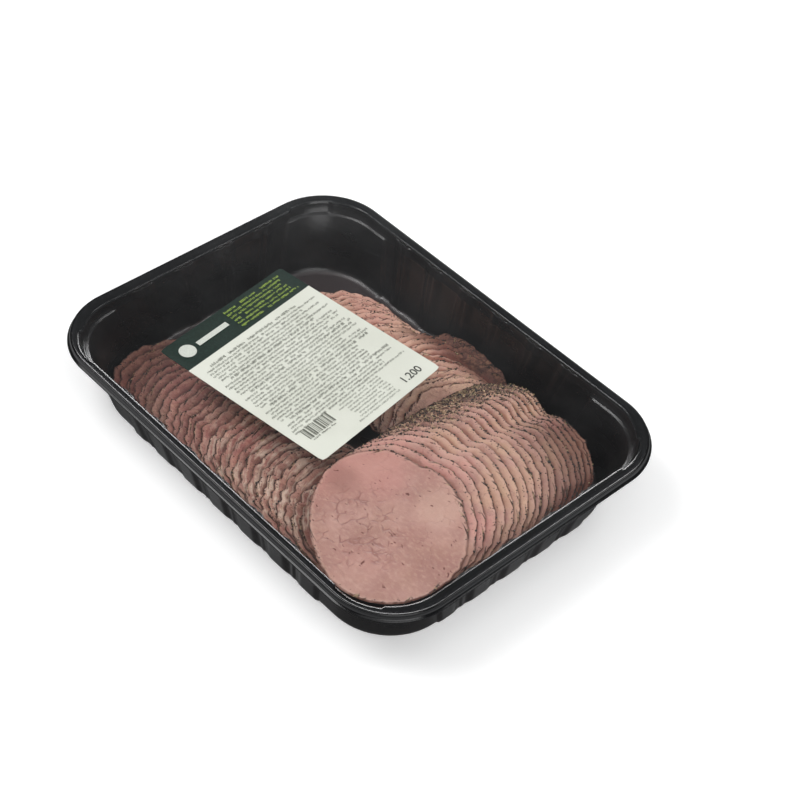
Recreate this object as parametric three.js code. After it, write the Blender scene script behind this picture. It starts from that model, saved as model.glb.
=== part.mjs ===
// A sealed tray of sliced, pepper-crusted roast beef: a black thermoformed tray with fluted walls, three
// shingled rows of thin slices in it, a clear lidding film across the rim and a label stuck on the film.
// Millimetres, +Z up, origin under the middle of the base. +X runs along the tray's long side.

import * as THREE from 'three';

// ---- driving dimensions ---------------------------------------------------------------------------

const gap = 0.3;                      // clearance between pieces that touch

const tray = {
  height: 44.5,
  wall: 0.9,
  rimHalf: new THREE.Vector2(145, 108.8),       // outer edge of the flange
  rimRadius: 39.7,
  rimRounding: 0.8,
  openingHalf: new THREE.Vector2(137.5, 103.2), // where the flange turns down into the wall
  openingRadius: 34,
  baseHalf: new THREE.Vector2(130.8, 94.6),
  baseRadius: 39,
  baseRounding: 1.8,
  skirtDrop: 4.3,                     // the flange's turned-down edge
  lipOut: 1.5,                        // thin lip along the skirt's lower edge
  lipHeight: 0.9,
};

const flute = {                       // set-back strips between the wall's pads
  depth: 1.4,
  flat: 2.5,                          // half width of the strip
  foot: 7,                            // half width including its sloping flanks
  long: { count: 6, pitch: 24.8, shift: 2.6 },
  short: { count: 4, pitch: 24.4, shift: -0.9 },
};

const lug = {                         // stacking ledge round each corner
  longStart: 79, shortStart: 54,
  drop: 7.2, ramp: 0.8,
  inward: 1.3,                        // wall below the ledge
  pocket: 1.5,                        // half of each corner is let further out above the ledge
  arcSteps: 8,
};

const film = { thickness: 0.3, inset: 1.4, arcSteps: 12 };

const label = {
  length: 121.5, width: 99.7, radius: 3, thickness: 0.3,
  centre: new THREE.Vector2(-32.5, -12.8), turn: 7.9,
};

const slice = { thickness: 0.75, sides: 30, pairSides: 24 };

// Each row is laid like roof tiles, the first slice listed being the one at `first`. `toward` points from
// a slice's middle to the edge that stays uncovered, `reach` is the distance between the two, and `rise`
// the slope toward that edge. `form` gives the half width across, the half length along, the turn in
// degrees and the power of the oval. A bump is an angle, a width and a height on the outline.
const rows = [
  {
    name: 'beef_front', count: 19, toward: [0, 1], reach: 43.5, ease: 1.28, jitter: [0.35, 0.5, 1.5],
    first: { edge: [85, -8.5], height: 41, rise: 0.055, form: [50.6, 41.5, 150, 2],
      bumps: [[117, 9, -3], [128, 16, 0], [166, 26, 2.5], [292, 34, 4]] },
    last: { edge: [83, 87.5], height: 28.2, rise: 0.12, form: [48.6, 41, 168, 2.2],
      bumps: [[106, 12, -6], [128, 16, 4.5], [166, 26, 9], [292, 34, 0]] },
  },
  {
    name: 'beef_left', count: 14, toward: [-1, 0], reach: 44, ease: 1, jitter: [0.6, 0.8, 1.5],
    paired: true, step: 5.5,
    first: { edge: [-126.5, -57.5], height: 9.6, rise: 0.085, form: [34, 44, 0, 2.3],
      bumps: [[215, 12, -2]] },
    last: { edge: [28, -51], height: 22.4, rise: 0.085, form: [41, 43, 0, 2.2],
      bumps: [[215, 12, -2]] },
  },
  {
    name: 'beef_back', count: 13, toward: [-1, 0], reach: 42, ease: 1, jitter: [0.6, 0.8, 1.5],
    paired: true, step: 5.5,
    first: { edge: [-98, 47.7], height: 9.75, rise: 0.092, form: [38, 42, 0, 2.3],
      bumps: [[330, 12, -2], [155, 20, 0]] },
    last: { edge: [9, 43], height: 21.5, rise: 0.092, form: [37, 42, 0, 2.3],
      bumps: [[330, 12, -2], [155, 20, 8]] },
    slipped: { from: 6, to: 8, across: 10.7, along: [-9, -4] },  // pushed up against the far wall
  },
];

// ---- materials ------------------------------------------------------------------------------------

const blackPlastic = new THREE.MeshStandardMaterial({ color: 0x17171a, roughness: 0.25, metalness: 0 });
const clearFilm = new THREE.MeshStandardMaterial({
  color: 0xf4f6f6, roughness: 0.08, metalness: 0, transparent: true, opacity: 0.12,
});
const labelPaper = new THREE.MeshStandardMaterial({ color: 0xe2e6da, roughness: 0.5, metalness: 0 });
const roastBeef = new THREE.MeshStandardMaterial({ color: 0xb98a7c, roughness: 0.5, metalness: 0 });

// ---- helpers --------------------------------------------------------------------------------------

const lerp = THREE.MathUtils.lerp;
const radians = THREE.MathUtils.degToRad;

function addMesh(name, geometry, material) {
  const mesh = new THREE.Mesh(geometry, material);
  mesh.name = name;
  pack.add(mesh);
  return mesh;
}

// Joins closed rings with the same number of points, listed from the underside round to the top, into
// one solid, and closes the first and the last ring with flat caps.
function skinRings(rings) {
  const count = rings[0].length;
  const positions = rings.flat().flatMap((point) => [point.x, point.y, point.z]);
  const index = [];
  for (let level = 0; level + 1 < rings.length; level += 1) {
    for (let column = 0; column < count; column += 1) {
      const a = level * count + column;
      const b = level * count + (column + 1) % count;
      index.push(a, b, b + count, a, b + count, a + count);
    }
  }
  const cap = (ring, offset, facingDown) => {
    for (const [a, b, c] of THREE.ShapeUtils.triangulateShape(ring, [])) {
      index.push(offset + a, offset + (facingDown ? c : b), offset + (facingDown ? b : c));
    }
  };
  cap(rings[0], 0, true);
  cap(rings[rings.length - 1], (rings.length - 1) * count, false);
  const geometry = new THREE.BufferGeometry();
  geometry.setAttribute('position', new THREE.Float32BufferAttribute(positions, 3));
  geometry.setIndex(index);
  geometry.computeVertexNormals();
  return geometry;
}

function roundedRectangle(halfLength, halfWidth, radius, arcSteps) {
  const points = [];
  const corners = [[1, 1], [-1, 1], [-1, -1], [1, -1]];
  corners.forEach(([sideX, sideY], corner) => {
    for (let step = 0; step <= arcSteps; step += 1) {
      const angle = (corner + step / arcSteps) * Math.PI / 2;
      points.push(new THREE.Vector2(
        sideX * (halfLength - radius) + radius * Math.cos(angle),
        sideY * (halfWidth - radius) + radius * Math.sin(angle),
      ));
    }
  });
  return points;
}

function sheet(outline, thickness) {
  return new THREE.ExtrudeGeometry(new THREE.Shape(outline), { depth: thickness, bevelEnabled: false });
}

// ---- tray -----------------------------------------------------------------------------------------

// Columns of the tray's skin along one straight side: where they stand, and how much of the flutes and
// of the corner ledge each of them follows.
function sideColumns({ count, pitch }, shift, lugStart) {
  const columns = [{ at: -lugStart, flute: 0, lug: 1 }, { at: -lugStart + 1.5, flute: 0, lug: 0 }];
  for (let strip = 0; strip < count; strip += 1) {
    const middle = shift + (strip - (count - 1) / 2) * pitch;
    for (const [offset, depth] of [[-flute.foot, 0], [-flute.flat, 1], [flute.flat, 1], [flute.foot, 0]]) {
      columns.push({ at: middle + offset, flute: depth, lug: 0 });
    }
  }
  columns.push({ at: lugStart - 1.5, flute: 0, lug: 0 }, { at: lugStart, flute: 0, lug: 1 });
  return columns;
}

const shortColumns = sideColumns(flute.short, flute.short.shift, lug.shortStart);
const farColumns = sideColumns(flute.long, flute.long.shift, lug.longStart);
const nearColumns = sideColumns(flute.long, -flute.long.shift, lug.longStart);

// One ring of the tray's skin. `fluted`, `ledge` and `pocket` push its columns inward in millimetres.
function trayRing({ z, half, radius, fluted = 0, ledge = 0, pocket = 0 }) {
  const ring = [];
  const sides = [
    { along: [0, 1], out: [1, 0], distance: half.x, columns: shortColumns },
    { along: [-1, 0], out: [0, 1], distance: half.y, columns: farColumns },
    { along: [0, -1], out: [-1, 0], distance: half.x, columns: shortColumns },
    { along: [1, 0], out: [0, -1], distance: half.y, columns: nearColumns },
  ];
  const corners = [[1, 1], [-1, 1], [-1, -1], [1, -1]];
  sides.forEach((side, index) => {
    const shape = (column) => fluted * column.flute + ledge * column.lug;
    for (const column of side.columns) {
      const distance = side.distance - shape(column);
      ring.push(new THREE.Vector3(
        side.along[0] * column.at + side.out[0] * distance,
        side.along[1] * column.at + side.out[1] * distance,
        z,
      ));
    }
    const [sideX, sideY] = corners[index];
    for (let step = 0; step <= lug.arcSteps; step += 1) {
      const turn = step / lug.arcSteps;
      const angle = (index + turn) * Math.PI / 2;
      // At the far corners the half beside the short side is let out, at the near ones the other half.
      const besideShort = index % 2 === 0 ? turn < 0.5 : turn > 0.5;
      const letOut = besideShort === (sideY > 0) ? pocket : 0;
      const reach = radius - ledge + letOut;
      ring.push(new THREE.Vector3(
        sideX * (half.x - radius) + reach * Math.cos(angle),
        sideY * (half.y - radius) + reach * Math.sin(angle),
        z,
      ));
    }
  });
  return ring;
}

const inset = (half, amount) => half.clone().subScalar(amount);

function makeTray() {
  const { height, wall, rimHalf, rimRadius, openingHalf, openingRadius, baseHalf, baseRadius } = tray;
  const ledgeTop = height - lug.drop;
  const underFlange = height - wall;
  // Half sizes of the wall's inner face at a height, between the base and the opening.
  const wallHalf = (z, outward) => {
    const t = (z - tray.baseRounding) / (height - tray.baseRounding);
    return inset(baseHalf, wall).lerp(openingHalf, t).addScalar(outward);
  };
  const wallLevel = (z, outward, ledge, pocket) => ({
    z, half: wallHalf(z, outward), radius: lerp(baseRadius, openingRadius, z / height) + outward,
    fluted: flute.depth, ledge, pocket,
  });
  const rim = (z, outward) => ({ z, half: inset(rimHalf, -outward), radius: rimRadius + outward });
  const base = (z, inward) => ({
    z, half: inset(baseHalf, inward), radius: baseRadius - inward, fluted: flute.depth / 2, ledge: lug.inward,
  });
  const bandPocket = lug.pocket;
  const levels = [
    base(0, 2.4),
    base(0.6, 0.9),
    { ...wallLevel(tray.baseRounding, wall, lug.inward, 0), fluted: flute.depth * 0.7 },
    wallLevel(ledgeTop - lug.ramp - wall, wall, lug.inward, 0),
    wallLevel(ledgeTop - wall, wall, 0, bandPocket),
    wallLevel(underFlange, wall, 0, bandPocket),
    rim(underFlange, -wall),
    rim(height - tray.skirtDrop, -wall),
    rim(height - tray.skirtDrop, tray.lipOut),
    rim(height - tray.skirtDrop + tray.lipHeight, tray.lipOut),
    rim(height - tray.skirtDrop + tray.lipHeight + 0.2, 0.1),
    rim(height - tray.rimRounding, 0),
    rim(height, -tray.rimRounding),
    { z: height, half: inset(openingHalf, -1), radius: openingRadius + 1, pocket: bandPocket },
    wallLevel(height - 0.9, 0, 0, bandPocket),
    wallLevel(ledgeTop, 0, 0, bandPocket),
    wallLevel(ledgeTop - lug.ramp, 0, lug.inward, 0),
    { ...wallLevel(tray.baseRounding + wall, 0, lug.inward, 0), fluted: flute.depth * 0.7 },
    base(1.4, 3.2),
    base(wall, 4.6),
  ];
  return skinRings(levels.map(trayRing));
}

// ---- slices ---------------------------------------------------------------------------------------

function seededRandom(seed) {
  let state = seed;
  return () => {
    state = (Math.imul(state, 1664525) + 1013904223) >>> 0;
    return state / 2 ** 31 - 1;
  };
}

// Outline of one slice round its own middle, x across the row and y toward the uncovered edge.
function sliceOutline([halfAcross, halfAlong, turn, power], bumps, sides) {
  const outline = [];
  for (let side = 0; side < sides; side += 1) {
    const angle = side / sides * 2 * Math.PI;
    const local = angle - radians(turn);
    let radius = (Math.abs(Math.cos(local) / halfAcross) ** power
      + Math.abs(Math.sin(local) / halfAlong) ** power) ** (-1 / power);
    for (const [at, width, size] of bumps) {
      const away = THREE.MathUtils.euclideanModulo(angle - radians(at) + Math.PI, 2 * Math.PI) - Math.PI;
      radius += size * Math.exp(-((away / radians(width)) ** 2));
    }
    outline.push(new THREE.Vector2(radius * Math.cos(angle), radius * Math.sin(angle)));
  }
  return outline;
}

function lerpList(first, last, t) {
  return first.map((value, index) => (Array.isArray(value)
    ? lerpList(value, last[index], t) : lerp(value, last[index], t)));
}

function addRow(row, random) {
  const [towardX, towardY] = row.toward;
  for (let number = 0; number < row.count; number += 1) {
    const t = number / (row.count - 1);
    const eased = 1 - (1 - t) ** row.ease;
    const edge = lerpList(row.first.edge, row.last.edge, eased);
    const rise = lerp(row.first.rise, row.last.rise, t);
    const form = lerpList(row.first.form, row.last.form, t);
    const bumps = lerpList(row.first.bumps, row.last.bumps, t);
    let along = row.jitter[0] * random();
    let across = row.jitter[1] * random();
    form[2] += row.jitter[2] * random();
    const { slipped } = row;
    if (slipped && number >= slipped.from && number <= slipped.to) {
      across += slipped.across;
      along += lerp(...slipped.along, (number - slipped.from) / (slipped.to - slipped.from));
    }
    // A slice that is shifted stays in its own plane.
    const height = lerp(row.first.height, row.last.height, t) + rise * along;
    const middleX = edge[0] + towardX * (along - row.reach) + towardY * across;
    const middleY = edge[1] + towardY * (along - row.reach) - towardX * across;
    const place = (point, lift) => new THREE.Vector3(
      middleX + towardY * point.x + towardX * point.y,
      middleY - towardX * point.x + towardY * point.y,
      height + rise * (point.y - row.reach) + lift,
    );
    const outline = sliceOutline(form, bumps, row.paired ? slice.pairSides : slice.sides);
    const ring = (lift) => outline.map((point) => place(point, lift));
    let rings;
    if (row.paired) {
      // Two slices that cling together: the upper one shows the lower one's edge along the open side.
      const scale = 1 - row.step / (2 * row.reach);
      const upper = outline.map((point) => new THREE.Vector2(
        point.x * scale, point.y * scale - row.reach * (1 - scale)));
      const upperRing = (lift) => upper.map((point) => place(point, lift));
      rings = [ring(-slice.thickness), ring(0), upperRing(0), upperRing(slice.thickness)];
    } else {
      rings = [ring(-slice.thickness), ring(0)];
    }
    addMesh(`${row.name}_${String(number + 1).padStart(2, '0')}`, skinRings(rings), roastBeef);
  }
}

// ---- assembly -------------------------------------------------------------------------------------

const pack = new THREE.Group();
pack.name = 'peppered_beef_pack';

addMesh('tray', makeTray(), blackPlastic);
rows.forEach((row, index) => addRow(row, seededRandom(41 + index)));

const filmOutline = roundedRectangle(
  tray.rimHalf.x - film.inset, tray.rimHalf.y - film.inset, tray.rimRadius - film.inset, film.arcSteps);
const filmMesh = addMesh('film', sheet(filmOutline, film.thickness), clearFilm);
filmMesh.position.z = tray.height + gap;

const labelOutline = roundedRectangle(label.length / 2, label.width / 2, label.radius, 4);
const labelMesh = addMesh('label', sheet(labelOutline, label.thickness), labelPaper);
labelMesh.position.set(label.centre.x, label.centre.y, filmMesh.position.z + film.thickness + gap);
labelMesh.rotation.z = radians(label.turn);

export default pack;
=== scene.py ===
# A sealed tray of sliced peppered roast beef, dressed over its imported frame.
# Lengths are in millimetres in the dictionaries and turned into metres where a mesh is made.
import math
import random

import bmesh
import bpy
from mathutils import Matrix, Vector, noise


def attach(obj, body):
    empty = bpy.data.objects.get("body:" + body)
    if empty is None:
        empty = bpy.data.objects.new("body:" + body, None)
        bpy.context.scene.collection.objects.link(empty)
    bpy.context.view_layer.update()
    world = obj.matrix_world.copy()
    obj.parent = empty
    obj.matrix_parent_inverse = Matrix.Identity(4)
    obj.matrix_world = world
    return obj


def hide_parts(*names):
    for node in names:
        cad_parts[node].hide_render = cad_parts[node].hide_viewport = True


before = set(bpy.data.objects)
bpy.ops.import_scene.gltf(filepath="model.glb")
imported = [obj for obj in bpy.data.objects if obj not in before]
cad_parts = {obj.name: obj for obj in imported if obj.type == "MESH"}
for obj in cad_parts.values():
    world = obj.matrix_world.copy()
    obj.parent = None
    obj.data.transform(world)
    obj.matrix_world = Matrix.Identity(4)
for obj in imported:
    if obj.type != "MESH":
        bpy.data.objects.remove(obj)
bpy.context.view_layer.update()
mm = 0.001
tiny = 1e-6  # keeps a division away from nought
print("frame loaded:", len(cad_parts), "nodes")


# small helpers

def mix(a, b, t):
    return a + (b - a) * t


def blendLists(first, last, t):
    # mixes the numbers in the matching places of two nested lists
    return [blendLists(a, b, t) if isinstance(a, (list, tuple)) else mix(a, b, t)
            for a, b in zip(first, last)]


def smooth(low, high, value):
    t = min(1, max(0, (value - low) / (high - low)))
    return t * t * (3 - 2 * t)


def colour(code):
    parts = [int(code[i:i + 2], 16) / 255 for i in (1, 3, 5)]
    return (*[p / 12.92 if p <= 0.04045 else ((p + 0.055) / 1.055) ** 2.4 for p in parts], 1)


def turned(x, y, degrees):
    c, s = math.cos(math.radians(degrees)), math.sin(math.radians(degrees))
    return x * c - y * s, x * s + y * c


def meshFrom(bm, name):
    mesh = bpy.data.meshes.new(name)
    bm.to_mesh(mesh)
    bm.free()
    return mesh


def turnOutwards(bm):
    bmesh.ops.recalc_face_normals(bm, faces=bm.faces)


def linked(name, data):
    # an object of its own in the scene
    thing = bpy.data.objects.new(name, data)
    bpy.context.scene.collection.objects.link(thing)
    return thing


def finishPiece(bm, name, material, node, sharpAt=40):
    # a piece in metres that rides on the part, in place of the solid that node names, if any
    bm.normal_update()
    for face in bm.faces:
        face.smooth = True
    for edge in bm.edges:
        if len(edge.link_faces) == 2 and edge.calc_face_angle(0) > math.radians(sharpAt):
            edge.smooth = False
    bmesh.ops.scale(bm, vec=(mm, mm, mm), verts=bm.verts)
    piece = linked(name, meshFrom(bm, name))
    piece.data.materials.append(material)
    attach(piece, "root")
    if node:
        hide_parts(node)
    return piece


# material nodes

class Wire:
    # one output socket, with the arithmetic the finishes use
    def __init__(self, finish, socket):
        self.finish, self.socket = finish, socket

    def maths(self, operation, *values):
        return self.finish.add("ShaderNodeMath", {"operation": operation}, list(values))

    def __add__(self, other):
        return self.maths("ADD", self, other)

    __radd__ = __add__

    def __sub__(self, other):
        return self.maths("SUBTRACT", self, other)

    def __rsub__(self, other):
        return self.maths("SUBTRACT", other, self)

    def __mul__(self, other):
        return self.maths("MULTIPLY", self, other)

    __rmul__ = __mul__

    def __truediv__(self, other):
        return self.maths("DIVIDE", self, other)

    def __gt__(self, other):
        return self.maths("GREATER_THAN", self, other)

    def __lt__(self, other):
        return self.maths("LESS_THAN", self, other)

    def span(self, low, high, toLow=0.0, toHigh=1.0):
        return self.finish.add("ShaderNodeMapRange", {"interpolation_type": "SMOOTHSTEP"}, {
            "Value": self, "From Min": low, "From Max": high, "To Min": toLow, "To Max": toHigh})


class Finish:
    # a material's node tree
    def __init__(self, name):
        self.material = bpy.data.materials.new(name)
        self.material.use_nodes = True
        self.nodes = self.material.node_tree.nodes
        self.links = self.material.node_tree.links
        self.nodes.clear()
        self.place = self.add("ShaderNodeTexCoord", {}, {}, "Object")

    def add(self, kind, settings, inputs, output=0):
        # a text among the values is a colour code
        node = self.nodes.new(kind)
        for key, value in settings.items():
            if key == "stops":
                ramp = node.color_ramp
                while len(ramp.elements) < len(value):
                    ramp.elements.new(1)
                for element, (position, shade) in zip(ramp.elements, value):
                    element.position, element.color = position, colour(shade)
            else:
                setattr(node, key, value)
        for key, value in (inputs.items() if isinstance(inputs, dict) else enumerate(inputs)):
            if isinstance(value, Wire):
                self.links.new(value.socket, node.inputs[key])
            else:
                node.inputs[key].default_value = colour(value) if isinstance(value, str) else value
        return Wire(self, node.outputs[output])

    def moved(self, vector, scale=(1, 1, 1), turn=(0, 0, 0)):
        return self.add("ShaderNodeMapping", {}, {"Vector": vector, "Scale": scale, "Rotation": turn})

    def noise(self, size, vector=None, detail=3.0, roughness=0.55, distortion=0.0):
        return self.add("ShaderNodeTexNoise", {}, {
            "Vector": vector or self.place, "Scale": 1 / (size * mm), "Detail": detail,
            "Roughness": roughness, "Distortion": distortion})

    def cells(self, size, vector=None, feature="F1", output="Distance"):
        return self.add("ShaderNodeTexVoronoi", {"feature": feature}, {
            "Vector": vector or self.place, "Scale": 1 / (size * mm), "Randomness": 1.0}, output)

    def attribute(self, name):
        return self.add("ShaderNodeAttribute", {"attribute_name": name}, {}, "Fac")

    def tint(self, factor, a, b, blend="MIX"):
        settings = {"data_type": "RGBA", "blend_type": blend}
        return self.add("ShaderNodeMix", settings, {0: factor, 6: a, 7: b}, 2)

    def bump(self, height, distance, strength=1.0):
        inputs = {"Height": height, "Distance": distance * mm, "Strength": strength}
        return self.add("ShaderNodeBump", {}, inputs)

    def surface(self, **sockets):
        # the keywords are the shader's socket names, with underscores for spaces
        inputs = {key.replace("_", " "): value for key, value in sockets.items()}
        shader = self.add("ShaderNodeBsdfPrincipled", {}, inputs)
        end = self.nodes.new("ShaderNodeOutputMaterial")
        self.links.new(shader.socket, end.inputs["Surface"])
        return self.material


# tray

tray = {
    "height": 44.5, "wall": 0.9,
    "rimHalf": (145, 108.8), "rimRadius": 39.7,
    "openingHalf": (137.5, 103.2), "openingRadius": 34,
    "baseHalf": (130.8, 94.6), "baseRadius": 39, "baseRounding": 1.8,
    "skirtDrop": 4.3, "lipOut": 1.5, "lipHeight": 0.9,
    "fluteDepth": 1.4, "fluteFlat": 2.2, "fluteFoot": 7.3, "grooveHalf": 0.9, "grooveDepth": 0.5,
    "longCount": 6, "longPitch": 24.8, "longShift": 2.6,
    "shortCount": 4, "shortPitch": 24.4, "shortShift": -0.9,
    "ledgeDrop": 7.2, "ledgeRamp": 0.8, "ledgeIn": 1.3, "ledgeLong": 79, "ledgeShort": 54, "pocket": 1.5,
    "columnStep": 1.1, "cornerSteps": 40,
}


def sideStations(count, pitch, shift, ledgeStart, straight):
    # where columns stand along a straight side, with how much of the flutes and ledge each follows
    stations = []
    steps = round(2 * straight / tray["columnStep"])
    for step in range(1, steps):
        at = -straight + 2 * straight * step / steps
        away = min(abs(at - shift - (strip - (count - 1) / 2) * pitch) for strip in range(count))
        depth = 1 - smooth(tray["fluteFlat"], tray["fluteFoot"], away)
        groove = 1 - smooth(tray["grooveHalf"] * 0.6, tray["grooveHalf"], away)
        ledge = smooth(ledgeStart - 0.8, ledgeStart + 0.2, abs(at))
        stations.append((at, depth, groove, ledge))
    return stations


def trayRing(level):
    # the points of one level round the tray, the same number at every level
    radius, (halfX, halfY) = level["radius"], level["half"]
    fluted, ledge, pocket = level.get("fluted", 0), level.get("ledge", 0), level.get("pocket", 0)
    longSide, shortSide = (side - tray["baseRadius"] for side in tray["baseHalf"])
    strips, shift = (tray["longCount"], tray["longPitch"]), tray["longShift"]
    farStations = sideStations(*strips, shift, tray["ledgeLong"], longSide)
    nearStations = sideStations(*strips, -shift, tray["ledgeLong"], longSide)
    strips, shift = (tray["shortCount"], tray["shortPitch"]), tray["shortShift"]
    shortStations = sideStations(*strips, shift, tray["ledgeShort"], shortSide)
    sides = [((0, 1), (1, 0), halfX, halfY - radius, shortSide, shortStations, (1, 1)),
             ((-1, 0), (0, 1), halfY, halfX - radius, longSide, farStations, (-1, 1)),
             ((0, -1), (-1, 0), halfX, halfY - radius, shortSide, shortStations, (-1, -1)),
             ((1, 0), (0, -1), halfY, halfX - radius, longSide, nearStations, (1, -1))]
    ring = []
    for index, (along, out, distance, straight, station, stations, corner) in enumerate(sides):
        for at, flute, groove, ledgeHere in stations:
            inward = fluted * flute - level.get("groove", 0) * groove + ledge * ledgeHere
            where = at * straight / station
            ring.append((along[0] * where + out[0] * (distance - inward),
                         along[1] * where + out[1] * (distance - inward)))
        for step in range(tray["cornerSteps"] + 1):
            turn = step / tray["cornerSteps"]
            angle = (index + turn) * math.pi / 2
            fromShort = turn if index % 2 == 0 else 1 - turn
            # the wall is let out above the ledge over half of each corner
            letOut = 1 - smooth(0.485, 0.5, fromShort) if corner[1] > 0 else smooth(0.5, 0.515, fromShort)
            reach = radius - ledge + pocket * letOut
            ring.append((corner[0] * (halfX - radius) + reach * math.cos(angle),
                         corner[1] * (halfY - radius) + reach * math.sin(angle)))
    return ring


def trayLevels():
    # from the edge of the underside up the outside, over the flange and down the inside to the floor
    top, wall, ledgeTop = tray["height"], tray["wall"], tray["height"] - tray["ledgeDrop"]

    def offsetLevel(z, outline, outward, **rest):
        half = [side + outward for side in tray[outline + "Half"]]
        return {"z": z, "half": half, "radius": tray[outline + "Radius"] + outward, **rest}

    def wallAt(z, outward, ledge=0, pocket=0, share=1):
        t = (z - tray["baseRounding"]) / (top - tray["baseRounding"])
        half = [mix(a - wall, b, t) + outward for a, b in zip(tray["baseHalf"], tray["openingHalf"])]
        radius = mix(tray["baseRadius"], tray["openingRadius"], z / top) + outward
        return {"z": z, "half": half, "radius": radius, "fluted": tray["fluteDepth"] * share,
                "groove": tray["grooveDepth"] * share, "ledge": ledge, "pocket": pocket}

    def rim(z, outward, knurl=0):
        return offsetLevel(z, "rim", outward, knurl=knurl, polish=1)

    def base(z, inward):
        return offsetLevel(z, "base", -inward, fluted=tray["fluteDepth"] / 2,
                           groove=tray["grooveDepth"] / 2, ledge=tray["ledgeIn"])

    def mouth(z, outward):
        return offsetLevel(z, "opening", outward, pocket=tray["pocket"], polish=1)

    ledgeIn, pocket, lipOut = tray["ledgeIn"], tray["pocket"], tray["lipOut"]
    rampFoot = ledgeTop - tray["ledgeRamp"]
    skirt = top - tray["skirtDrop"]
    lip = skirt + tray["lipHeight"]
    return [
        # underside and the outside of the wall
        base(0, 2.6), base(0.15, 1.6), base(0.6, 0.9),
        wallAt(1.6, wall - 0.2, ledgeIn, 0, 0.6), wallAt(2.6, wall, ledgeIn, 0, 0.85),
        wallAt(5, wall, ledgeIn), wallAt(20, wall, ledgeIn), wallAt(rampFoot - wall, wall, ledgeIn),
        wallAt(ledgeTop - wall, wall, 0, pocket), wallAt(top - wall, wall, 0, pocket),
        # skirt and lip
        rim(top - wall, -wall), rim(skirt + 0.3, -wall), rim(skirt, -wall + 0.3),
        rim(skirt, lipOut - 0.25), rim(skirt + 0.25, lipOut), rim(lip - 0.25, lipOut),
        rim(lip, lipOut - 0.25), rim(lip + 0.25, 0.3), rim(lip + 0.6, 0.05),
        # flange, with its ridge and the knurled seal
        rim(top - 0.9, 0), rim(top - 0.42, -0.12), rim(top - 0.12, -0.42),
        rim(top, -0.9), rim(top - 0.12, -1.35), rim(top - 0.3, -1.7, 1),
        rim(top - 0.3, -3.3, 1), rim(top - 0.3, -3.5),
        # rounding into the opening
        mouth(top - 0.3, 1.75), mouth(top - 0.36, 1.3), mouth(top - 0.5, 0.85),
        mouth(top - 0.68, 0.4), mouth(top - 0.95, 0.12), mouth(top - 1.35, 0),
        # inside of the wall, ledge and floor
        wallAt(top - 1.75, 0, 0, pocket, 0), wallAt(top - 1.9, 0, 0, pocket, 0.1),
        wallAt(top - 2.05, 0, 0, pocket, 0.9), wallAt(top - 2.4, 0, 0, pocket),
        wallAt(ledgeTop + 0.35, 0, 0, pocket), wallAt(ledgeTop, -0.15, 0.2, pocket * 0.8),
        wallAt(ledgeTop - 0.35, 0, ledgeIn * 0.85, 0.1), wallAt(rampFoot, 0, ledgeIn),
        wallAt(20, 0, ledgeIn), wallAt(4.4, 0, ledgeIn, 0, 0.9),
        wallAt(2.9, -0.4, ledgeIn, 0, 0.6), wallAt(1.9, -1.3, ledgeIn, 0, 0.3),
        base(1.2, 3.6), base(0.9, 5),
    ]


def addTray(material):
    bm = bmesh.new()
    knurl, polish = bm.verts.layers.float.new("knurl"), bm.verts.layers.float.new("polish")
    previous = first = None
    for level in trayLevels():
        points = trayRing(level)
        ring = bmesh.ops.create_circle(bm, segments=len(points), radius=1)["verts"]
        for vert, (x, y) in zip(ring, points):
            vert.co = (x, y, level["z"])
            vert[knurl], vert[polish] = level.get("knurl", 0), level.get("polish", 0)
        edges = list({edge for vert in ring for edge in vert.link_edges})
        if previous:
            bmesh.ops.bridge_loops(bm, edges=previous + edges)
        else:
            first = edges
        previous = edges
    for loop in (first, previous):
        bmesh.ops.edgeloop_fill(bm, edges=loop)
    turnOutwards(bm)
    return finishPiece(bm, "black_tray", material, "tray", sharpAt=50)


def blackPlasticFinish():
    f = Finish("black plastic")
    flow = f.noise(38, f.moved(f.place, scale=(1, 1, 2.5)), detail=2)
    dust = f.cells(4.5)
    speck = (dust < 0.04) * (f.noise(9, detail=0) > 0.62)
    shade = f.tint(flow.span(0.3, 0.75), "#110f10", "#1b1819")
    shade = f.tint(f.attribute("polish"), shade, "#060608")
    shade = f.tint(speck * 0.4, shade, "#6f7076")
    depth = f.add("ShaderNodeSeparateXYZ", {}, [f.place], "Z")
    # painted sheen: everything lower than 3 mm, the tray's floor with it, is painted paler
    shade = f.tint(depth.span(1.5 * mm, 3 * mm, 0.8, 0), shade, "#3a3233")
    hatch = f.add("ShaderNodeTexWave", {"wave_type": "BANDS", "bands_direction": "DIAGONAL"},
                  {"Vector": f.place, "Scale": 1 / (9 * mm), "Distortion": 0.0})
    knurl = f.attribute("knurl")
    shade = f.tint(knurl * hatch * 0.1, shade, "#3c3d42")
    relief = f.noise(6, detail=1) * 0.4 + flow + knurl * hatch * 0.4
    roughness = flow.span(0.25, 0.8, 0.26, 0.34) - f.attribute("polish") * 0.14 + speck * 0.3
    return f.surface(Base_Color=shade, Roughness=roughness, Normal=f.bump(relief, 0.22, 0.2),
                     Specular_IOR_Level=0.4)


# slices

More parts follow.
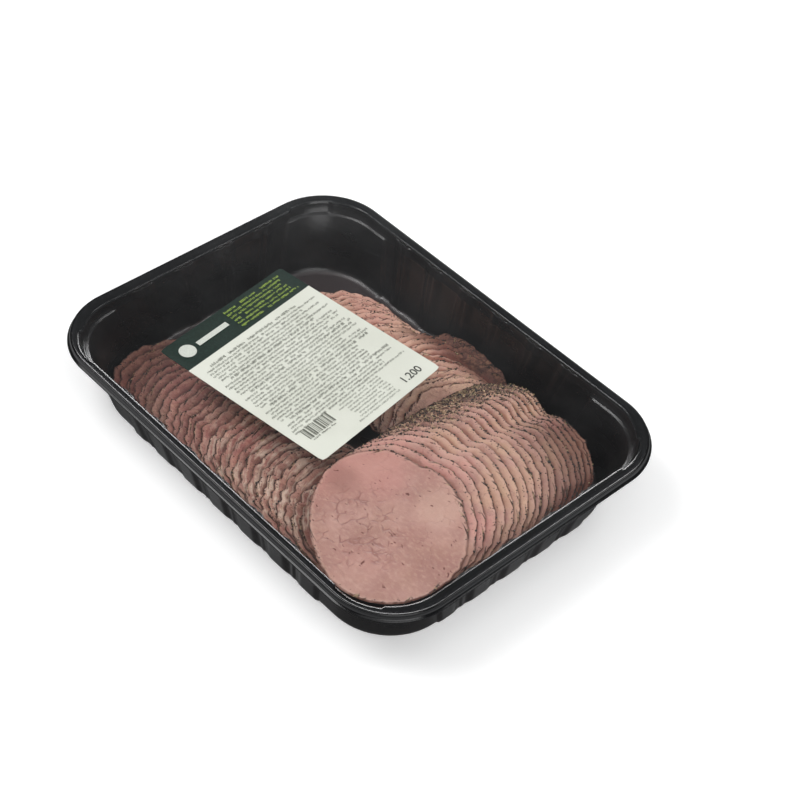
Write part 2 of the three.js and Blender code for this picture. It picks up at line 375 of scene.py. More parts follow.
rows = [
    {"name": "front", "count": 19, "toward": (0, 1), "reach": 43.5, "ease": 1.28,
     "jitter": (0.35, 0.5, 1.5), "seed": 41,
     "first": {"edge": (85, -8.5), "height": 41, "rise": 0.055, "form": (50.6, 41.5, 150, 2),
               "bumps": ((117, 9, -3), (128, 16, 0), (166, 26, 2.5), (292, 34, 4))},
     "last": {"edge": (83, 87.5), "height": 28.2, "rise": 0.12, "form": (48.6, 41, 168, 2.2),
              "bumps": ((106, 12, -6), (128, 16, 4.5), (166, 26, 9), (292, 34, 0))},
     "ruffle": 0.8, "lobes": 7.5, "scallop": 0.25, "drift": 0.16, "wave": 0.45, "curl": 0.7,
     "pepper": (1, 3.2)},
    {"name": "left", "count": 14, "toward": (-1, 0), "reach": 44, "ease": 1, "jitter": (0.6, 0.8, 1.5),
     "seed": 42, "paired": 5.5,
     "first": {"edge": (-126.5, -57.5), "height": 9.6, "rise": 0.085, "form": (34, 44, 0, 2.3),
               "bumps": ((215, 12, -2),)},
     "last": {"edge": (28, -51), "height": 22.4, "rise": 0.085, "form": (41, 43, 0, 2.2),
              "bumps": ((215, 12, -2),)},
     "ruffle": 1.7, "lobes": 3.6, "scallop": 0.9, "drift": 0.13, "wave": 1.1, "curl": 1.2,
     "pepper": (0.35, 0.35)},
    {"name": "back", "count": 13, "toward": (-1, 0), "reach": 42, "ease": 1, "jitter": (0.6, 0.8, 1.5),
     "seed": 43, "paired": 5.5,
     "first": {"edge": (-98, 47.7), "height": 9.75, "rise": 0.092, "form": (38, 42, 0, 2.3),
               "bumps": ((330, 12, -2), (155, 20, 0))},
     "last": {"edge": (9, 43), "height": 21.5, "rise": 0.092, "form": (37, 42, 0, 2.3),
              "bumps": ((330, 12, -2), (155, 20, 8))},
     "slipped": {"from": 6, "to": 8, "across": 10.7, "along": (-9, -4)},
     "ruffle": 1.1, "lobes": 4.6, "scallop": 0.6, "drift": 0.15, "wave": 0.8, "curl": 1,
     "pepper": (0.5, 0.5)},
]

leafShape = {
    "thickness": 0.75, "sides": 180,
    # shares of the radius and of the thickness, from the top's middle round the rim to the underside
    "profile": ((0, 1), (0.22, 1), (0.42, 1), (0.58, 1), (0.7, 1), (0.79, 1), (0.86, 1), (0.91, 1),
                (0.945, 1), (0.968, 1.02), (0.983, 1.04), (0.994, 0.9), (1, 0.5), (0.993, 0.08),
                (0.97, 0), (0.85, 0), (0.5, 0), (0, 0)),
}

wholeFace = 1000  # stands for the shown width of the slice that nothing covers


def seededRandom(seed):
    # the same draw as the solids use
    state = seed
    while True:
        state = (state * 1664525 + 1013904223) % 2 ** 32
        yield state / 2 ** 31 - 1


def makeLeafTemplate():
    # a unit disc, spun from half its section
    bm = bmesh.new()
    verts = [bm.verts.new((radius, 0, height)) for radius, height in leafShape["profile"]]
    edges = [bm.edges.new(pair) for pair in zip(verts, verts[1:])]
    bmesh.ops.spin(bm, geom=verts + edges, cent=(0, 0, 0), axis=(0, 0, 1), dvec=(0, 0, 0),
                   angle=2 * math.pi, steps=leafShape["sides"], use_merge=True, use_duplicate=False)
    bmesh.ops.remove_doubles(bm, verts=bm.verts, dist=1e-5)
    turnOutwards(bm)
    return meshFrom(bm, "leafTemplate")


class Leaf:
    # one slice: its oval, its plane and the rumples it shares with the rest of its row
    def __init__(self, row, number, t, form, bumps, middle, height, rise, order):
        self.row, self.number, self.t = row, number, t
        self.form, self.bumps, self.middle = form, bumps, middle
        self.height, self.rise, self.order = height, rise, order
        self.scale, self.pull, self.lift, self.shown = 1.0, 0.0, 0.0, wholeFace

    def frontEdge(self):
        # how far along its row the uncovered edge lies
        return (self.middle[0] * self.row["toward"][0] + self.middle[1] * self.row["toward"][1]
                + self.row["reach"] * self.scale - self.pull)

    def radius(self, angle):
        halfAcross, halfAlong, turn, power = self.form
        local = angle - math.radians(turn)
        across, along = abs(math.cos(local) / halfAcross), abs(math.sin(local) / halfAlong)
        r = (across ** power + along ** power) ** (-1 / power)
        for at, width, size in self.bumps:
            away = (angle - math.radians(at) + math.pi) % (2 * math.pi) - math.pi
            r += size * math.exp(-(away / math.radians(width)) ** 2)
        # the cut edge wanders in and out, much as its neighbours' do
        spot = Vector((math.cos(angle), math.sin(angle), 0))
        wander = noise.noise(spot * 2.3 + Vector((self.row["seed"] + self.order * self.row["drift"], 0, 3)))
        fine = noise.noise(spot * 19 + Vector((0, 7, self.order * 1.3)))
        tatter = noise.noise(spot * 47 + Vector((5, 0, self.order * 2.9)))
        seen = 0.45 + 0.55 * smooth(-0.5, 0, math.sin(angle))
        ruffled = 0.7 * wander + 1.15 * self.lobe(angle) + 0.28 * fine + 0.2 * tatter
        return r - 0.4 + seen * self.row["ruffle"] * ruffled

    def lobe(self, angle):
        # waves along the cut edge, from even ones to round lobes with tight folds between
        spot = Vector((math.cos(angle), math.sin(angle), 0)) * self.row["lobes"]
        place = self.row["seed"] + self.order * self.row["drift"]
        wave = noise.noise(spot + Vector((0, place * 1.7, 11)))
        return mix(wave, 2.8 * abs(wave) - 0.5, self.row["scallop"])

    def point(self, angle, share, level, radius=None):
        # a place on the slice: direction, share of the radius and share of the thickness
        radius = (radius or self.radius(angle)) * self.scale
        r = radius * share
        x, y = r * math.cos(angle), r * math.sin(angle) - self.pull
        towardX, towardY = self.row["toward"]
        worldX = self.middle[0] + towardY * x + towardX * y
        worldY = self.middle[1] - towardX * x + towardY * y
        z = self.height + self.rise * (y - self.row["reach"]) + self.lift
        z += leafShape["thickness"] * (level - 1)
        z += rumple(self.row, worldX, worldY)
        # the uncovered edge curls up, here more and there less
        uncovered = smooth(0.2, 0.7, math.sin(angle)) * (1 - smooth(0.5, 4.6, radius - r))
        if uncovered > 0:
            z += self.row["curl"] * uncovered * (0.45 + 0.75 * self.lobe(angle))
        return Vector((worldX, worldY, z))


def rumple(row, x, y):
    # heights that all slices of a row share, so that neighbours keep nearly the same gap
    spot = Vector((x * 0.03, y * 0.03, row["seed"]))
    height = row["wave"] * (noise.noise(spot) * 0.9 + noise.noise(spot * 2.7) * 0.4)
    if row["name"] == "back":
        height += 7.5 * smooth(82, 97, y)  # the slipped slices climb the far wall
    return height


def rowLeaves(row):
    # lists of leaves, one list for each node
    draw = seededRandom(row["seed"])
    (towardX, towardY), reach = row["toward"], row["reach"]
    first, last = row["first"], row["last"]
    stacks = []
    for number in range(row["count"]):
        t = number / (row["count"] - 1)
        eased = 1 - (1 - t) ** row["ease"]
        edge = blendLists(first["edge"], last["edge"], eased)
        rise = mix(first["rise"], last["rise"], t)
        form = blendLists(first["form"], last["form"], t)
        bumps = blendLists(first["bumps"], last["bumps"], t)
        along, across = row["jitter"][0] * next(draw), row["jitter"][1] * next(draw)
        form[2] += row["jitter"][2] * next(draw)
        slipped = row.get("slipped")
        if slipped and slipped["from"] <= number <= slipped["to"]:
            across += slipped["across"]
            along += mix(*slipped["along"], (number - slipped["from"]) / (slipped["to"] - slipped["from"]))
        middle = (edge[0] + towardX * (along - reach) + towardY * across,
                  edge[1] + towardY * (along - reach) - towardX * across)
        height = mix(first["height"], last["height"], t) + rise * along
        shared = (row, number, t, form, bumps, middle, height, rise)
        leaves = [Leaf(*shared, number)]
        if "paired" in row:
            upper = Leaf(*shared, number - 0.5)
            upper.scale = 1 - row["paired"] / (2 * reach)
            upper.pull = reach * (1 - upper.scale)
            upper.lift = leafShape["thickness"]
            leaves.append(upper)
        stacks.append(leaves)
    shingle = sorted((leaf for leaves in stacks for leaf in leaves), key=Leaf.frontEdge, reverse=True)
    for leaf, over in zip(shingle, shingle[1:]):  # the strip that the next slice leaves showing
        leaf.shown = max(2, leaf.frontEdge() - over.frontEdge())
    return stacks


def addSlices(row, stacks, template, material):
    layers = ("edgeDistance", "around", "tone", "shown", "crust", "dusk", "marbling", "veins", "blush")
    for number, leaves in enumerate(stacks):
        bm = bmesh.new()
        layer = {name: bm.verts.layers.float.new(name) for name in layers}
        for leaf in leaves:
            known = len(bm.verts)
            radii = {}
            bm.from_mesh(template)
            bm.verts.ensure_lookup_table()
            for vert in bm.verts[known:]:
                share, level = math.hypot(vert.co.x, vert.co.y), vert.co.z
                angle = math.atan2(vert.co.y, vert.co.x)
                turn = round(math.degrees(angle), 2)
                if turn not in radii:
                    radii[turn] = leaf.radius(angle)
                radius = radii[turn]
                vert.co = leaf.point(angle, share, level, radius)
                vert[layer["edgeDistance"]] = (1 - share) * radius * leaf.scale
                vert[layer["around"]] = (angle + math.pi / 2) % (2 * math.pi) * radius * share
                vert[layer["tone"]] = (leaf.order * 0.618 + leaf.row["seed"] * 0.37) % 1
                vert[layer["shown"]] = leaf.shown
                for name, value in surfaceShares(leaf, angle, vert.co).items():
                    vert[layer[name]] = value
        start, end = f"beef_{row['name']}", f"{number + 1:02d}"
        finishPiece(bm, f"{start}_slice_{end}", material, f"{start}_{end}", sharpAt=70)


# the uncovered face: its middle, the way that runs rightwards in the view, and its patches seen from there
openFace = {"middle": (85, -52), "right": (0.72, 0.69),
            "veins": (-14, -4), "pale": (26, 12), "dark": (-26, 27)}


def openFaceShares(spot):
    x, y = spot.x - openFace["middle"][0], spot.y - openFace["middle"][1]
    rightX, rightY = openFace["right"]
    sideways, upwards = x * rightX + y * rightY, y * rightX - x * rightY

    def away(patch, squat=1):
        return math.hypot(sideways - openFace[patch][0], upwards * squat - openFace[patch][1])

    blush = smooth(0, 34, upwards) * (1 - smooth(-4, 18, sideways)) - (1 - smooth(5, 22, away("pale")))
    # the dark patch on the uncovered face takes a painted shade
    return {"veins": 1 - smooth(14, 30, away("veins", 0.8)), "blush": blush,
            "dusk": 0.5 * (1 - smooth(4, 14, away("dark")))}


def surfaceShares(leaf, angle, spot):
    # how strongly crust, painted shade, marbling, veins and pinkness show at a point of a slice
    t, name = leaf.t, leaf.row["name"]
    shares = {"crust": crustShare(leaf, angle), "dusk": 0.0, "marbling": 0.0, "veins": 0.0, "blush": 0.0}
    if name == "front":
        # painted shade: darker at the row's right end and along the tray's right wall
        rightEnd = smooth(0.35, 0.85, t) * smooth(-0.2, 0.6, math.cos(angle - 0.4))
        shares["dusk"] = 1.3 * rightEnd + smooth(118, 133, spot.x)
        shares["marbling"] = 0.35 * smooth(0.1, 0.3, t) * smooth(-0.2, 0.5, math.cos(angle - 1.2))
        if leaf.number == 0:
            shares.update(openFaceShares(spot))
    elif name == "left":
        shares["marbling"] = smooth(0.36, 0.6, t) * smooth(0, 0.6, math.sin(angle))
        # painted shade: darker over the first slices, low and deep in the tray, and along the slices' left
        # sides
        shares["dusk"] = 1.25 * (1 - smooth(0.02, 0.36, t)) + 0.3 * smooth(0.5, 0.95, -math.cos(angle))
    else:
        # painted shade: darker where the slices come near the far wall and near the label
        shares["dusk"] = 1.5 * smooth(66, 82, spot.y) * smooth(0.3, 0.45, t) + 0.5 * smooth(20, 2, spot.y)
        shares["marbling"] = 0.4 * smooth(0.6, 0.9, t)
    return shares


def crustShare(leaf, angle):
    # how much peppered crust there is along this part of a slice's edge
    if leaf.row["name"] == "front":
        left = smooth(mix(0.55, 0.25, smooth(0.6, 1, leaf.t)), 0.97, -math.cos(angle))
        left *= smooth(-0.45, 0.05, math.sin(angle))
        return left * smooth(0.12, 0.42, leaf.t)
    if leaf.row["name"] == "back":
        slipped = smooth(0.36, 0.45, leaf.t) * (1 - smooth(0.68, 0.78, leaf.t))
        return 0.25 * smooth(0.6, 1, leaf.t) + 0.6 * smooth(0.5, 0.95, math.cos(angle)) * slipped
    return 0.2


# the nook colour is a painted shade, laid on a strip where the next slice overhangs it
beefTones = {
    "front": {"face": "#bb9085", "pale": "#d0ac9b", "deep": "#a4786e", "pink": "#c4877f", "beige": "#c6a183",
              "rim": "#5a3429", "nookShade": "#a87766", "fat": "#c9ab87", "rimWidth": 0.5},
    "left": {"face": "#b87a70", "pale": "#d3a595", "deep": "#885650", "pink": "#b06b66", "beige": "#b88e7c",
             "rim": "#462a22", "nookShade": "#6c4036", "fat": "#dcc4b2", "rimWidth": 0.8},
    "back": {"face": "#cf9f8f", "pale": "#e0b7a5", "deep": "#ad7c6e", "pink": "#cb8f83", "beige": "#c9a58b",
             "rim": "#5a382e", "nookShade": "#a87463", "fat": "#cbb091", "rimWidth": 0.45},
}


def beefFinish(name):
    f, tones = Finish(f"sliced roast beef {name}"), beefTones[name]
    edge, around, tone, shown = (f.attribute(key) for key in ("edgeDistance", "around", "tone", "shown"))
    crust, dusk, marbling = (f.attribute(key) for key in ("crust", "dusk", "marbling"))
    veins, blush = f.attribute("veins"), f.attribute("blush")
    drift = f.add("ShaderNodeCombineXYZ", {}, [tone * 0.7, tone * 0.4, tone * 0.9])
    place = f.add("ShaderNodeVectorMath", {"operation": "ADD"}, [f.place, drift])
    flat = f.moved(place, scale=(1, 1, 0.3))
    cloud = f.noise(26, flat, detail=3)
    region = f.noise(30, detail=2)  # the same through a row's neighbours
    grain = f.noise(3.2, f.moved(flat, scale=(1, 1.7, 1)), detail=4, roughness=0.6)

    def warped(size, amount):
        # positions pushed about by a coarse noise, so that lines laid on them wander
        coarse = {"Vector": flat, "Scale": 1 / (size * mm), "Detail": 2.0}
        push = f.add("ShaderNodeTexNoise", {}, coarse, "Color")
        push = f.add("ShaderNodeVectorMath", {"operation": "SCALE"}, {0: push, "Scale": amount * mm})
        return f.add("ShaderNodeVectorMath", {"operation": "ADD"}, [flat, push])

    bent = warped(8, 9)
    seam = f.cells(10, bent, "DISTANCE_TO_EDGE").span(0.0, 0.05, 1, 0)
    seam = seam * f.noise(15, place, detail=1).span(0.5, 0.64)
    vein = f.cells(7, warped(9, 8), "DISTANCE_TO_EDGE").span(0.0, 0.11, 1, 0)
    vein = vein * f.noise(6, place, detail=1).span(0.38, 0.58) * veins
    pit = f.cells(5.6, f.moved(bent, scale=(0.8, 2.4, 1), turn=(0, 0, 0.9))) < 0.15
    pit = pit * (f.noise(9, place, detail=1) > 0.52)
    shade = f.tint(cloud.span(0.32, 0.7), tones["deep"], tones["face"])
    shade = f.tint(grain.span(0.42, 0.8) * 0.5, shade, tones["pale"])
    strip = shown < wholeFace / 2  # else it is the uncovered face, which is more even
    shade = f.tint(region.span(0.44, 0.62) * (strip * 0.35 + 0.1), shade, tones["beige"])
    pink = region.span(0.34, 0.46, 1, 0) * (strip * 0.4 + 0.1) + blush.span(0, 1) * 0.5
    shade = f.tint(pink, shade, tones["pink"])
    shade = f.tint(blush.span(-1, 0, 1, 0) * 0.5, shade, tones["pale"])
    shade = f.tint((1 - strip) * 0.1, shade, "#8a8480", "MULTIPLY")
    shade = f.tint(tone * 0.25, shade, tones["deep"])
    shade = f.tint(seam * 0.3 + vein * 0.65, shade, "#8a5a52")
    shade = f.tint(pit * 0.85, shade, "#5a2723")
    # streaks of fat that follow the cut edge
    streakPlace = f.add("ShaderNodeCombineXYZ", {}, [around * (0.28 * mm), edge * mm, tone * 0.8])
    streak = f.noise(3.2, streakPlace, detail=4, roughness=0.6, distortion=0.7)
    patches = f.noise(11, place, detail=2)
    fat = marbling * (streak * 0.6 + patches * 0.5).span(0.5, 0.66)
    fat = fat * (edge + (streak - 0.5) * 8).span(4, 9, 1, 0)
    shade = f.tint(fat * 0.85, shade, tones["fat"])
    # painted light: a strip is painted palest near its own edge, a painted highlight on its rounded lip, and
    # painted darker towards the next slice, a painted shade where that slice overhangs it
    wobble = f.noise(2.4, place, detail=3)
    shade = f.tint(edge.span(0.8, 3.4, 1, 0) * 0.3, shade, tones["pale"])
    nookShade = (edge / shown + (wobble - 0.5) * 0.3).span(0.42, 1.05)
    shade = f.tint(nookShade * 0.75, shade, tones["nookShade"], "MULTIPLY")
    # dark rim, thin and uneven, with short runs of pepper, and the crust
    rimPlace = f.add("ShaderNodeCombineXYZ", {}, [around * mm, tone * 0.5, 0.0])
    pepper = f.noise(4.5, rimPlace, detail=2).span(0.56, 0.64)
    rimWidth = pepper * 1.1 + (1 - strip) * 0.5 + tones["rimWidth"]
    rim = ((edge + (wobble - 0.5) * 1.5) / rimWidth).span(0.4, 1.6, 1, 0)
    rim = rim * (f.noise(9, rimPlace, detail=2).span(0.3, 0.56, 0.35, 1) + pepper * 0.6)
    band = crust * (edge + (wobble - 0.5) * 6 + (patches - 0.5) * 14).span(3.5, 7.5, 1, 0)
    crumb = f.noise(1.5, place, detail=3)
    crumbs = f.add("ShaderNodeValToRGB", {"stops": (
        (0.3, "#15100e"), (0.45, "#3b2c22"), (0.56, "#6d5441"),
        (0.67, "#a2886a"), (0.8, "#c0a886"))},
        {"Fac": f.cells(1.5, place, output="Color") * 0.7 + crumb * 0.3})
    shade = f.tint(band * 0.9, shade, crumbs)
    shade = f.tint(rim, shade, f.tint(pepper * 0.8, tones["rim"], crumbs))
    grit = (f.cells(1.25, place) < 0.3) * (crumb > 0.45) * band
    speck = (f.cells(1.7, place) < 0.26) * edge.span(1.4, 4.2, 1, 0) * (f.noise(5, place, detail=1) > 0.5)
    shade = f.tint(grit * 0.9 + speck * 0.85 - grit * speck * 0.8, shade, "#15110f")
    # painted shade: the beef is painted darker where the shares say it lies in shade
    shade = f.tint(dusk * 0.6, shade, "#7d5a4f", "MULTIPLY")
    relief = (grain * 0.4 + cloud * 0.4 + streak * marbling * 0.6 - seam * 0.4 - vein * 1.3 - pit * 0.9
              + (rim + band) * crumb * 1.6)
    return f.surface(Base_Color=shade, Roughness=0.5 - seam * 0.1 + band * 0.28 + grain * 0.12,
                     Normal=f.bump(relief, 0.4, 0.75), Specular_IOR_Level=0.35,
                     Subsurface_Weight=0.1, Subsurface_Radius=(0.004, 0.0016, 0.001), Subsurface_Scale=0.4)


# pepper and crumbs on the rims

grains = {
    "black": {"count": 5200, "size": (0.24, 0.72), "seed": 5},
    "tan": {"count": 2200, "size": (0.25, 0.65), "seed": 9},
    # where they fall round a slice and how far they spread, in degrees, at its edge and on its crust
    "edge": (90, 55), "crust": (158, 26), "crustChance": 0.62, "tanLeftOut": 0.8, "proud": 0.12,
}


def scatterGrains(stacks, kind, material, name):
    chance = random.Random(grains[kind]["seed"])
    bm = bmesh.new()
    bmesh.ops.create_icosphere(bm, subdivisions=1, radius=1)
    lump = meshFrom(bm, "lump")
    bm = bmesh.new()
    leaves = [leaf for stack in stacks for leaf in stack]
    weights = [mix(*leaf.row["pepper"], leaf.t) for leaf in leaves]
    for leaf in chance.choices(leaves, weights, k=grains[kind]["count"]):
        angle = math.radians(chance.gauss(*grains["edge"]))
        if leaf.row["name"] == "front" and chance.random() < grains["crustChance"]:
            angle = math.radians(chance.gauss(*grains["crust"]))
        crust = crustShare(leaf, angle)
        inward = abs(chance.gauss(0, 0.45 + 3.6 * max(0, crust - 0.3)))
        if kind == "tan" and crust < 0.3 and chance.random() < grains["tanLeftOut"]:
            continue
        share = 1 - inward / leaf.radius(angle)
        size = mix(*grains[kind]["size"], chance.random() ** 1.6)
        known = len(bm.verts)
        bm.from_mesh(lump)
        bm.verts.ensure_lookup_table()
        verts = bm.verts[known:]
        spin = Matrix.Rotation(chance.uniform(0, 6.28), 3, "Z")
        spin = spin @ Matrix.Rotation(chance.uniform(0, 6.28), 3, "X")
        stretch = Vector([size * chance.uniform(*span) for span in ((0.7, 1.3), (0.6, 1), (0.45, 0.8))])
        centre = leaf.point(angle, share, 1) + Vector((0, 0, size * grains["proud"]))
        for vert in verts:
            vert.co = centre + spin @ (vert.co * chance.uniform(0.82, 1.12) * stretch)
    finishPiece(bm, name, material, None, sharpAt=30)


def grainFinish(name, dark, light):
    f = Finish(name)
    patch = f.noise(1.4, detail=3)
    shade = f.tint(patch.span(0.35, 0.7), dark, light)
    return f.surface(Base_Color=shade, Roughness=patch.span(0.3, 0.7, 0.5, 0.75),
                     Normal=f.bump(f.noise(0.5, detail=2), 0.1, 0.8))


# film over the rim

film = {"inset": 1.4, "lift": 0.3, "thickness": 0.18, "sag": 0.7, "ripple": 0.1, "rings": 26, "sides": 160}


def roundedHalf(angle, halfX, halfY, radius):
    # distance from the middle to a rounded rectangle's outline in one direction
    c, s = abs(math.cos(angle)), abs(math.sin(angle))
    reach = min(halfX / max(c, tiny), halfY / max(s, tiny))
    x, y = reach * c, reach * s
    if x > halfX - radius and y > halfY - radius:
        centreX, centreY = halfX - radius, halfY - radius
        b = c * centreX + s * centreY
        reach = b + math.sqrt(max(0, b * b - (centreX ** 2 + centreY ** 2 - radius ** 2)))
    return reach


def filmHeight(x, y):
    # nearly flat, drawn tight over the rim, with a slight dip in the middle
    inX = 1 - (x / tray["openingHalf"][0]) ** 2
    inY = 1 - (y / tray["openingHalf"][1]) ** 2
    dip = film["sag"] * max(0, inX) * max(0, inY)
    ripple = film["ripple"] * noise.noise(Vector((x * 0.03, y * 0.06, 4))) * min(1, max(0, min(inX, inY)) * 6)
    return tray["height"] + film["lift"] - dip + ripple


def addFilm(material):
    bm = bmesh.new()
    bmesh.ops.create_circle(bm, cap_ends=True, cap_tris=True, segments=film["sides"],
                            radius=1 / film["rings"])
    for ring in range(2, film["rings"] + 1):
        border = [edge for edge in bm.edges if edge.is_boundary]
        grown = bmesh.ops.extrude_edge_only(bm, edges=border)["geom"]
        for vert in grown:
            if isinstance(vert, bmesh.types.BMVert):
                vert.co = vert.co.normalized() * ring / film["rings"]
    half = [side - film["inset"] for side in tray["rimHalf"]]
    for vert in bm.verts:
        share, angle = vert.co.length, math.atan2(vert.co.y, vert.co.x)
        reach = share * roundedHalf(angle, *half, tray["rimRadius"] - film["inset"])
        x, y = reach * math.cos(angle), reach * math.sin(angle)
        vert.co = (x, y, filmHeight(x, y))
    turnOutwards(bm)
    bmesh.ops.solidify(bm, geom=bm.faces[:], thickness=-film["thickness"])
    turnOutwards(bm)
    finishPiece(bm, "lidding_film", material, "film", sharpAt=60)


def filmFinish():
    f = Finish("clear film")
    haze = f.noise(45, detail=3)
    relief = f.noise(24, f.moved(f.place, scale=(1, 2.2, 1)), detail=2, distortion=1.2)
    bumped = f.bump(relief, 0.5, 0.25)
    facing = f.add("ShaderNodeLayerWeight", {}, {"Blend": 0.2, "Normal": bumped}, "Fresnel")
    alpha = facing * 0.1 + haze.span(0.35, 0.75, 0.001, 0.006)
    return f.surface(Base_Color="#dfe4e6", Roughness=0.08, Alpha=alpha, Normal=bumped)


# label

label = {
    "length": 121.5, "width": 99.7, "radius": 2, "centre": (-32.5, -12.8), "turn": 7.9,
    "thickness": 0.16, "aboveFilm": 0.3, "edgeLift": 0.12, "bandShare": 0.185,
}
halfU, halfV = label["length"] / 2, label["width"] / 2  # from the label's middle, along it and across
bandEnd = -halfU + label["length"] * label["bandShare"]


def labelPoint(u, v, lift=0.0):
    # label coordinates in millimetres, u along its length and v across, measured from its middle
    x, y = turned(u, v, label["turn"])
    x, y = x + label["centre"][0], y + label["centre"][1]
    edge = smooth(0.9, 1, max(abs(u) / halfU, abs(v) / halfV))
    return Vector((x, y, filmHeight(x, y) + label["aboveFilm"] + label["edgeLift"] * edge + lift))


def addLabel(material):
    bm = bmesh.new()
    bmesh.ops.create_grid(bm, x_segments=40, y_segments=34, size=0.5)
    radius = label["radius"]
    for vert in bm.verts:
        u, v = vert.co.x * label["length"], vert.co.y * label["width"]
        cornerU, cornerV = abs(u) - (halfU - radius), abs(v) - (halfV - radius)
        if cornerU > 0 and cornerV > 0:  # bring the corner points onto the rounding
            far = max(cornerU, cornerV) / math.hypot(cornerU, cornerV)
            u = math.copysign(halfU - radius + cornerU * far, u)
            v = math.copysign(halfV - radius + cornerV * far, v)
        vert.co = labelPoint(u, v)
    turnOutwards(bm)
    if sum(face.normal.z for face in bm.faces) < 0:
        bmesh.ops.reverse_faces(bm, faces=bm.faces)
    bmesh.ops.solidify(bm, geom=bm.faces[:], thickness=label["thickness"])
    turnOutwards(bm)
    finishPiece(bm, "paper_label", material, "label", sharpAt=60)


def labelFinish():
    f = Finish("label paper")
    centre = [side * mm for side in label["centre"]]
    turn = math.radians(-label["turn"])
    place = f.add("ShaderNodeVectorRotate", {}, {
        "Vector": f.place, "Center": (*centre, 0), "Axis": (0, 0, 1), "Angle": turn})
    u = f.add("ShaderNodeSeparateXYZ", {}, [place], "X")
    start = (label["centre"][0] - halfU) * mm
    inBand = (u < start + label["bandShare"] * label["length"] * mm)
    fibre = f.noise(1.2, detail=3)
    soft = f.noise(40, detail=2)
    paper = f.tint(soft.span(0.3, 0.7), "#d3d5c9", "#dbddd2")
    green = f.tint(fibre.span(0.4, 0.7), "#0e211a", "#142a23")
    shade = f.tint(inBand, paper, green)
    return f.surface(Base_Color=shade, Roughness=0.42 + fibre * 0.12, Specular_IOR_Level=0.14,
                     Normal=f.bump(fibre + soft * 3, 0.05, 0.4))


def inkFinish(name, shade):
    f = Finish(name)
    patch = f.noise(0.8, detail=2)
    tinted = f.tint(patch.span(0.3, 0.8) * 0.3, shade, "#8a8f86")
    return f.surface(Base_Color=tinted, Roughness=patch.span(0.3, 0.7, 0.4, 0.55), Specular_IOR_Level=0.14)


printing = {
    "lift": 0.2, "glyph": 0.42, "gap": 0.3, "pitch": 2.42, "height": 1.45, "runOn": 0.8, "seed": 3,
    "body": {"start": 6, "end": 22, "margin": 4.5, "headingEvery": 6, "headingIn": 6},
    "small": {"end": 4, "left": 34, "right": 30, "size": 0.8},
    "bars": {"u": 41.5, "v": -32, "length": 20, "width": 8.2},
    "band": {"start": 4, "end": 2.5, "left": -2, "right": 5, "pitch": 2.9, "height": 1.6, "glyph": 0.75},
    "mark": {"in": 11, "radius": 5.1, "barIn": 31, "bar": (3.6, 24)},
    "figure": {"text": "1.200", "size": 7.2, "weight": 0.06, "endIn": 6, "sideIn": 24},
}


def addMark(bm, u, v, sizeU, sizeV):
    # a flat printed bar with its middle at u, v
    verts = bmesh.ops.create_grid(bm, x_segments=1, y_segments=1, size=0.5)["verts"]
    for vert in verts:
        vert.co = labelPoint(u + vert.co.x * sizeU, v + vert.co.y * sizeV, printing["lift"])


def addTextRow(bm, chance, u, fromV, toV, height, glyph):
    # word-like runs of plain ticks along the label's width
    v = fromV
    while v < toV:
        for letter in range(chance.randint(3, 10)):
            if v > toV:
                break
            tall = height * chance.choice((0.62, 0.62, 0.75, 1))
            aside = (height - tall) / 2 * chance.choice((-1, 0, 1))
            addMark(bm, u + aside, v, tall, glyph * chance.uniform(0.55, 1.1))
            v += glyph + printing["gap"]
        v += glyph * chance.uniform(0.8, 1.6)
        if chance.random() > printing["runOn"]:
            v += glyph * 4


def addBodyPrint(chance, material):
    body, small, bars = printing["body"], printing["small"], printing["bars"]
    bm = bmesh.new()
    u = bandEnd + body["start"]
    line = 0
    while u < halfU - body["end"]:
        heading = line % body["headingEvery"] == 0
        left = -halfV + body["margin"] + body["headingIn"] * heading + 3 * chance.random()
        right = halfV - body["margin"] - chance.choice((0, 2, 14))
        addTextRow(bm, chance, u, left, right, printing["height"] * (1.35 if heading else 1),
                   printing["glyph"] * (1.25 if heading else 1))
        u += printing["pitch"] * (1.15 if heading else 1)
        line += 1
    while u < halfU - small["end"]:  # small rows beside the bars
        addTextRow(bm, chance, u, -halfV + small["left"] + 8 * chance.random(), halfV - small["right"],
                   printing["height"] * small["size"], printing["glyph"] * small["size"])
        u += printing["pitch"] * 0.95
    v = bars["v"] - bars["length"] / 2
    while v < bars["v"] + bars["length"] / 2:
        thick = chance.choice((0.35, 0.35, 0.7, 1.05))
        addMark(bm, bars["u"], v, bars["width"], thick)
        v += thick + chance.choice((0.35, 0.5, 0.7))
    addTextRow(bm, chance, bars["u"] + bars["width"] / 2 + 1.4, bars["v"] - 9, bars["v"] + 9, 1.3, 0.8)
    finishPiece(bm, "label_print", material, None)


def addBandPrint(chance, material):
    band = printing["band"]
    bm = bmesh.new()
    u = -halfU + band["start"]
    while u < bandEnd - band["end"]:
        right = halfV - band["right"] - 6 * chance.random()
        addTextRow(bm, chance, u, band["left"], right, band["height"], band["glyph"])
        u += band["pitch"]
    finishPiece(bm, "band_print", material, None)


def addPlainMark(material):
    # a plain disc and bar
    mark = printing["mark"]
    bm = bmesh.new()
    disc = bmesh.ops.create_circle(bm, cap_ends=True, segments=48, radius=mark["radius"])["verts"]
    for vert in disc:
        u, v = -halfU + mark["in"] + vert.co.x, -halfV + mark["in"] + vert.co.y
        vert.co = labelPoint(u, v, printing["lift"])
    addMark(bm, -halfU + mark["in"], -halfV + mark["barIn"], *mark["bar"])
    finishPiece(bm, "plain_mark", material, None)


